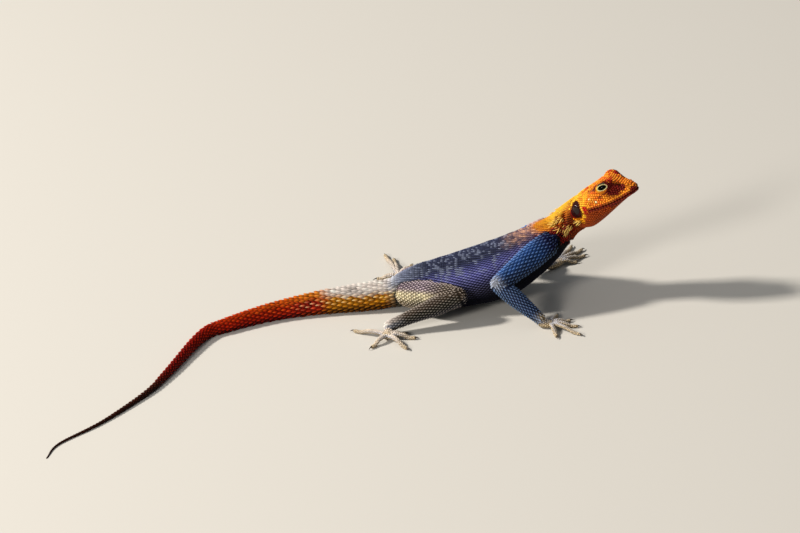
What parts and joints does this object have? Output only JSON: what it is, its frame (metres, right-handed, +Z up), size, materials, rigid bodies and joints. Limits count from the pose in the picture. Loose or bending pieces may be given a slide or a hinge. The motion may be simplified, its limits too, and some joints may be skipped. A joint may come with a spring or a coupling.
{
  "type": "namib rock agama model",
  "caption": "Life-size still model of a male rock agama lizard, propped up on its front legs, head raised and turned, long tail curving behind it.",
  "frame": {"origin": "middle of the model's box, on the floor that it lies on", "axes": "+Z up; +X from the tail towards the head, along the longest side; +Y to the animal's left"},
  "size_m": [0.2749, 0.1712, 0.0623],
  "materials": {
    "head": "dry, finely scaled, slightly glossy scales",
    "neck": "dry, scaled, with small spiny tufts",
    "torso": "dry, keeled scales with a soft sheen",
    "tail_base": "dry, large keeled scales",
    "tail_root": "dry, large keeled scales",
    "tail_middle": "dry, keeled scales in rings",
    "tail_rear": "dry, keeled scales in rings",
    "tail_tip": "dry, fine keeled scales",
    "eye": "wet, clear gloss",
    "front_leg": "dry, keeled scales with a soft sheen",
    "hind_leg": "dry, keeled scales",
    "foot": "dry, small plates, horny claws"
  },
  "bodies": {
    "root": {"head": "head", "neck": "neck", "torso": "torso", "tail_base": "tail_base", "tail_root": "tail_root", "tail_middle": "tail_middle", "tail_bend": "tail_middle", "tail_rear": "tail_rear", "tail_tip": "tail_tip", "eye_right": "eye", "upper_arm_right": "front_leg", "forearm_right": "front_leg", "hand_right": "foot", "thigh_right": "hind_leg", "shank_right": "hind_leg", "foot_right": "foot", "eye_left": "eye", "upper_arm_left": "front_leg", "forearm_left": "front_leg", "hand_left": "foot", "thigh_left": "hind_leg", "shank_left": "hind_leg", "foot_left": "foot"}
  },
  "joints": []
}
